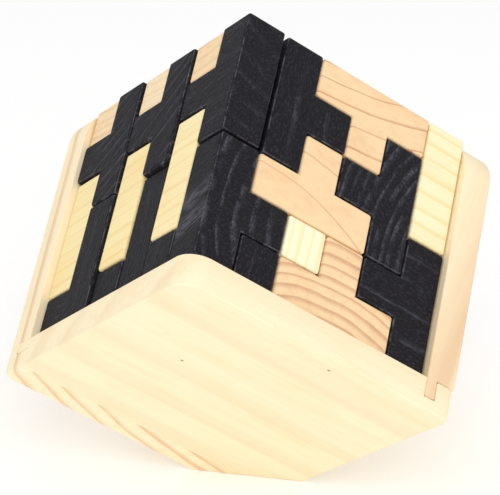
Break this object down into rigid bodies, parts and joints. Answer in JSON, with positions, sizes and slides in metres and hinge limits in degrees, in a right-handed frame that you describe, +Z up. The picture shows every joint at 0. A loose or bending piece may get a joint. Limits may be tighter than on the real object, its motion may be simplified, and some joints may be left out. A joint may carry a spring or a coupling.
{
  "type": "wooden packing cube puzzle",
  "caption": "Cube packed from black-stained and natural wooden T-shaped pieces, held in a three-board corner tray that stands on its sawn-off corner with the cube diagonal upright.",
  "frame": {"origin": "middle of the sawn flat foot, which is the point where the cube's body diagonal meets the surface that it stands on", "axes": "+Z up along the body diagonal of the cube; the front board's outer face looks towards -Y and down; +X towards the right board's side, so that -X is the left board's side"},
  "size_m": [0.1462, 0.1661, 0.1588],
  "materials": {
    "black_stained_pine": "matt black stain over open grain",
    "straw_pine": "sanded, bare, straight grain",
    "peach_pine": "sanded, bare, curved growth rings",
    "cream_pine": "sanded, bare, pale"
  },
  "bodies": {
    "tray": {"front_board": "cream_pine", "left_board": "cream_pine", "right_board": "cream_pine"},
    "left_corner_post": {"left_corner_post": "black_stained_pine"},
    "left_upper_post": {"left_upper_post": "black_stained_pine"},
    "left_top_beam": {"left_top_beam": "peach_pine"},
    "left_back_upper_post": {"left_back_upper_post": "straw_pine"},
    "left_middle_post": {"left_middle_post": "black_stained_pine"},
    "left_middle_beam": {"left_middle_beam": "peach_pine"},
    "left_front_lower_post": {"left_front_lower_post": "black_stained_pine"},
    "left_key_beam": {"left_key_beam": "straw_pine"},
    "left_bottom_beam": {"left_bottom_beam": "peach_pine"},
    "left_back_lower_post": {"left_back_lower_post": "black_stained_pine"},
    "left_foot_beam": {"left_foot_beam": "black_stained_pine"},
    "left_front_mid_post": {"left_front_mid_post": "straw_pine"},
    "left_inner_foot_beam": {"left_inner_foot_beam": "straw_pine"},
    "left_inner_back_post": {"left_inner_back_post": "black_stained_pine"},
    "left_inner_top_front_beam": {"left_inner_top_front_beam": "peach_pine"},
    "left_inner_top_back_beam": {"left_inner_top_back_beam": "black_stained_pine"},
    "left_inner_core_back_post": {"left_inner_core_back_post": "peach_pine"},
    "left_inner_core_front_post": {"left_inner_core_front_post": "black_stained_pine"},
    "middle_corner_post": {"middle_corner_post": "black_stained_pine"},
    "middle_upper_post": {"middle_upper_post": "black_stained_pine"},
    "middle_top_beam": {"middle_top_beam": "peach_pine"},
    "middle_back_upper_post": {"middle_back_upper_post": "straw_pine"},
    "middle_middle_post": {"middle_middle_post": "black_stained_pine"},
    "middle_middle_beam": {"middle_middle_beam": "peach_pine"},
    "middle_front_lower_post": {"middle_front_lower_post": "black_stained_pine"},
    "middle_key_beam": {"middle_key_beam": "straw_pine"},
    "middle_bottom_beam": {"middle_bottom_beam": "peach_pine"},
    "middle_back_lower_post": {"middle_back_lower_post": "black_stained_pine"},
    "middle_foot_beam": {"middle_foot_beam": "black_stained_pine"},
    "middle_front_mid_post": {"middle_front_mid_post": "straw_pine"},
    "middle_inner_foot_beam": {"middle_inner_foot_beam": "straw_pine"},
    "middle_inner_back_post": {"middle_inner_back_post": "black_stained_pine"},
    "middle_inner_top_front_beam": {"middle_inner_top_front_beam": "peach_pine"},
    "middle_inner_top_back_beam": {"middle_inner_top_back_beam": "black_stained_pine"},
    "middle_inner_core_back_post": {"middle_inner_core_back_post": "peach_pine"},
    "middle_inner_core_front_post": {"middle_inner_core_front_post": "black_stained_pine"},
    "right_corner_post": {"right_corner_post": "black_stained_pine"},
    "right_upper_post": {"right_upper_post": "black_stained_pine"},
    "right_top_beam": {"right_top_beam": "peach_pine"},
    "right_back_upper_post": {"right_back_upper_post": "straw_pine"},
    "right_middle_post": {"right_middle_post": "black_stained_pine"},
    "right_middle_beam": {"right_middle_beam": "peach_pine"},
    "right_front_lower_post": {"right_front_lower_post": "black_stained_pine"},
    "right_key_beam": {"right_key_beam": "straw_pine"},
    "right_bottom_beam": {"right_bottom_beam": "peach_pine"},
    "right_back_lower_post": {"right_back_lower_post": "black_stained_pine"},
    "right_foot_beam": {"right_foot_beam": "black_stained_pine"},
    "right_front_mid_post": {"right_front_mid_post": "straw_pine"},
    "right_inner_foot_beam": {"right_inner_foot_beam": "straw_pine"},
    "right_inner_back_post": {"right_inner_back_post": "black_stained_pine"},
    "right_inner_top_front_beam": {"right_inner_top_front_beam": "peach_pine"},
    "right_inner_top_back_beam": {"right_inner_top_back_beam": "black_stained_pine"},
    "right_inner_core_back_post": {"right_inner_core_back_post": "peach_pine"},
    "right_inner_core_front_post": {"right_inner_core_front_post": "black_stained_pine"}
  },
  "joints": [
    {"name": "right_corner_post_slide", "type": "slide", "parent": "tray", "child": "right_corner_post", "axis": [-0.7071, -0.4082, 0.5774], "range_m": [0, 0.027]},
    {"name": "right_upper_post_slide", "type": "slide", "parent": "tray", "child": "right_upper_post", "axis": [0.7071, -0.4082, 0.5774], "range_m": [0, 0.027]},
    {"name": "right_top_beam_slide", "type": "slide", "parent": "tray", "child": "right_top_beam", "axis": [0.7071, -0.4082, 0.5774], "range_m": [0, 0.027]},
    {"name": "right_middle_post_slide", "type": "slide", "parent": "tray", "child": "right_middle_post", "axis": [0.7071, -0.4082, 0.5774], "range_m": [0, 0.027]},
    {"name": "right_middle_beam_slide", "type": "slide", "parent": "tray", "child": "right_middle_beam", "axis": [0.7071, -0.4082, 0.5774], "range_m": [0, 0.027]},
    {"name": "right_bottom_beam_slide", "type": "slide", "parent": "tray", "child": "right_bottom_beam", "axis": [0.7071, -0.4082, 0.5774], "range_m": [0, 0.027]},
    {"name": "right_back_lower_post_slide", "type": "slide", "parent": "tray", "child": "right_back_lower_post", "axis": [0.7071, -0.4082, 0.5774], "range_m": [0, 0.027]},
    {"name": "right_inner_core_front_post_slide", "type": "slide", "parent": "tray", "child": "right_inner_core_front_post", "axis": [0, 0.8165, 0.5774], "range_m": [0, 0.072]},
    {"name": "right_inner_top_front_beam_slide", "type": "slide", "parent": "right_inner_core_front_post", "child": "right_inner_top_front_beam", "axis": [0, 0.8165, 0.5774], "range_m": [0, 0.042]},
    {"name": "right_inner_back_post_slide", "type": "slide", "parent": "tray", "child": "right_inner_back_post", "axis": [0, 0.8165, 0.5774], "range_m": [0, 0.087]},
    {"name": "right_inner_core_back_post_slide", "type": "slide", "parent": "right_inner_back_post", "child": "right_inner_core_back_post", "axis": [0, 0.8165, 0.5774], "range_m": [0, 0.072]},
    {"name": "right_inner_top_back_beam_slide", "type": "slide", "parent": "right_inner_core_back_post", "child": "right_inner_top_back_beam", "axis": [0, 0.8165, 0.5774], "range_m": [0, 0.042]},
    {"name": "right_back_upper_post_slide", "type": "slide", "parent": "right_inner_core_back_post", "child": "right_back_upper_post", "axis": [0.7071, -0.4082, 0.5774], "range_m": [0, 0.042]},
    {"name": "right_inner_foot_beam_slide", "type": "slide", "parent": "tray", "child": "right_inner_foot_beam", "axis": [-0.7071, -0.4082, 0.5774], "range_m": [0, 0.102]},
    {"name": "right_key_beam_slide", "type": "slide", "parent": "right_inner_foot_beam", "child": "right_key_beam", "axis": [-0.7071, -0.4082, 0.5774], "range_m": [0, 0.072]},
    {"name": "right_front_mid_post_slide", "type": "slide", "parent": "right_key_beam", "child": "right_front_mid_post", "axis": [-0.7071, -0.4082, 0.5774], "range_m": [0, 0.042]},
    {"name": "right_foot_beam_slide", "type": "slide", "parent": "right_key_beam", "child": "right_foot_beam", "axis": [-0.7071, -0.4082, 0.5774], "range_m": [0, 0.057]},
    {"name": "right_front_lower_post_slide", "type": "slide", "parent": "right_foot_beam", "child": "right_front_lower_post", "axis": [-0.7071, -0.4082, 0.5774], "range_m": [0, 0.042]},
    {"name": "middle_corner_post_slide", "type": "slide", "parent": "tray", "child": "middle_corner_post", "axis": [-0.7071, -0.4082, 0.5774], "range_m": [0, 0.027]},
    {"name": "middle_inner_core_front_post_slide", "type": "slide", "parent": "tray", "child": "middle_inner_core_front_post", "axis": [0, 0.8165, 0.5774], "range_m": [0, 0.072]},
    {"name": "middle_inner_top_front_beam_slide", "type": "slide", "parent": "middle_inner_core_front_post", "child": "middle_inner_top_front_beam", "axis": [0, 0.8165, 0.5774], "range_m": [0, 0.042]},
    {"name": "middle_bottom_beam_slide", "type": "slide", "parent": "tray", "child": "middle_bottom_beam", "axis": [-0.7071, -0.4082, 0.5774], "range_m": [0, 0.087]},
    {"name": "middle_inner_foot_beam_slide", "type": "slide", "parent": "middle_bottom_beam", "child": "middle_inner_foot_beam", "axis": [-0.7071, -0.4082, 0.5774], "range_m": [0, 0.102]},
    {"name": "middle_key_beam_slide", "type": "slide", "parent": "middle_inner_foot_beam", "child": "middle_key_beam", "axis": [-0.7071, -0.4082, 0.5774], "range_m": [0, 0.072]},
    {"name": "middle_front_mid_post_slide", "type": "slide", "parent": "middle_key_beam", "child": "middle_front_mid_post", "axis": [-0.7071, -0.4082, 0.5774], "range_m": [0, 0.042]},
    {"name": "middle_foot_beam_slide", "type": "slide", "parent": "middle_key_beam", "child": "middle_foot_beam", "axis": [-0.7071, -0.4082, 0.5774], "range_m": [0, 0.057]},
    {"name": "middle_front_lower_post_slide", "type": "slide", "parent": "middle_foot_beam", "child": "middle_front_lower_post", "axis": [-0.7071, -0.4082, 0.5774], "range_m": [0, 0.042]},
    {"name": "middle_back_lower_post_slide", "type": "slide", "parent": "tray", "child": "middle_back_lower_post", "axis": [0, 0.8165, 0.5774], "range_m": [0, 0.102]},
    {"name": "middle_middle_beam_slide", "type": "slide", "parent": "middle_back_lower_post", "child": "middle_middle_beam", "axis": [0, 0.8165, 0.5774], "range_m": [0, 0.072]},
    {"name": "middle_middle_post_slide", "type": "slide", "parent": "middle_middle_beam", "child": "middle_middle_post", "axis": [0, 0.8165, 0.5774], "range_m": [0, 0.072]},
    {"name": "middle_upper_post_slide", "type": "slide", "parent": "middle_middle_post", "child": "middle_upper_post", "axis": [0, 0.8165, 0.5774], "range_m": [0, 0.057]},
    {"name": "middle_top_beam_slide", "type": "slide", "parent": "middle_upper_post", "child": "middle_top_beam", "axis": [0, 0.8165, 0.5774], "range_m": [0, 0.042]},
    {"name": "middle_inner_back_post_slide", "type": "slide", "parent": "middle_back_lower_post", "child": "middle_inner_back_post", "axis": [0, 0.8165, 0.5774], "range_m": [0, 0.087]},
    {"name": "middle_inner_core_back_post_slide", "type": "slide", "parent": "middle_inner_back_post", "child": "middle_inner_core_back_post", "axis": [0, 0.8165, 0.5774], "range_m": [0, 0.072]},
    {"name": "middle_back_upper_post_slide", "type": "slide", "parent": "middle_inner_core_back_post", "child": "middle_back_upper_post", "axis": [0, 0.8165, 0.5774], "range_m": [0, 0.057]},
    {"name": "middle_inner_top_back_beam_slide", "type": "slide", "parent": "middle_back_upper_post", "child": "middle_inner_top_back_beam", "axis": [0, 0.8165, 0.5774], "range_m": [0, 0.042]},
    {"name": "left_corner_post_slide", "type": "slide", "parent": "tray", "child": "left_corner_post", "axis": [-0.7071, -0.4082, 0.5774], "range_m": [0, 0.027]},
    {"name": "left_inner_core_front_post_slide", "type": "slide", "parent": "tray", "child": "left_inner_core_front_post", "axis": [0, 0.8165, 0.5774], "range_m": [0, 0.072]},
    {"name": "left_inner_top_front_beam_slide", "type": "slide", "parent": "left_inner_core_front_post", "child": "left_inner_top_front_beam", "axis": [0, 0.8165, 0.5774], "range_m": [0, 0.042]},
    {"name": "left_bottom_beam_slide", "type": "slide", "parent": "tray", "child": "left_bottom_beam", "axis": [-0.7071, -0.4082, 0.5774], "range_m": [0, 0.087]},
    {"name": "left_inner_foot_beam_slide", "type": "slide", "parent": "left_bottom_beam", "child": "left_inner_foot_beam", "axis": [-0.7071, -0.4082, 0.5774], "range_m": [0, 0.102]},
    {"name": "left_key_beam_slide", "type": "slide", "parent": "left_inner_foot_beam", "child": "left_key_beam", "axis": [-0.7071, -0.4082, 0.5774], "range_m": [0, 0.072]},
    {"name": "left_front_mid_post_slide", "type": "slide", "parent": "left_key_beam", "child": "left_front_mid_post", "axis": [-0.7071, -0.4082, 0.5774], "range_m": [0, 0.042]},
    {"name": "left_foot_beam_slide", "type": "slide", "parent": "left_key_beam", "child": "left_foot_beam", "axis": [-0.7071, -0.4082, 0.5774], "range_m": [0, 0.057]},
    {"name": "left_front_lower_post_slide", "type": "slide", "parent": "left_foot_beam", "child": "left_front_lower_post", "axis": [-0.7071, -0.4082, 0.5774], "range_m": [0, 0.042]},
    {"name": "left_back_lower_post_slide", "type": "slide", "parent": "tray", "child": "left_back_lower_post", "axis": [0, 0.8165, 0.5774], "range_m": [0, 0.102]},
    {"name": "left_middle_beam_slide", "type": "slide", "parent": "left_back_lower_post", "child": "left_middle_beam", "axis": [0, 0.8165, 0.5774], "range_m": [0, 0.072]},
    {"name": "left_middle_post_slide", "type": "slide", "parent": "left_middle_beam", "child": "left_middle_post", "axis": [0, 0.8165, 0.5774], "range_m": [0, 0.072]},
    {"name": "left_upper_post_slide", "type": "slide", "parent": "left_middle_post", "child": "left_upper_post", "axis": [0, 0.8165, 0.5774], "range_m": [0, 0.057]},
    {"name": "left_top_beam_slide", "type": "slide", "parent": "left_upper_post", "child": "left_top_beam", "axis": [0, 0.8165, 0.5774], "range_m": [0, 0.042]},
    {"name": "left_inner_back_post_slide", "type": "slide", "parent": "left_back_lower_post", "child": "left_inner_back_post", "axis": [0, 0.8165, 0.5774], "range_m": [0, 0.087]},
    {"name": "left_inner_core_back_post_slide", "type": "slide", "parent": "left_inner_back_post", "child": "left_inner_core_back_post", "axis": [0, 0.8165, 0.5774], "range_m": [0, 0.072]},
    {"name": "left_back_upper_post_slide", "type": "slide", "parent": "left_inner_core_back_post", "child": "left_back_upper_post", "axis": [0, 0.8165, 0.5774], "range_m": [0, 0.057]},
    {"name": "left_inner_top_back_beam_slide", "type": "slide", "parent": "left_back_upper_post", "child": "left_inner_top_back_beam", "axis": [0, 0.8165, 0.5774], "range_m": [0, 0.042]}
  ]
}
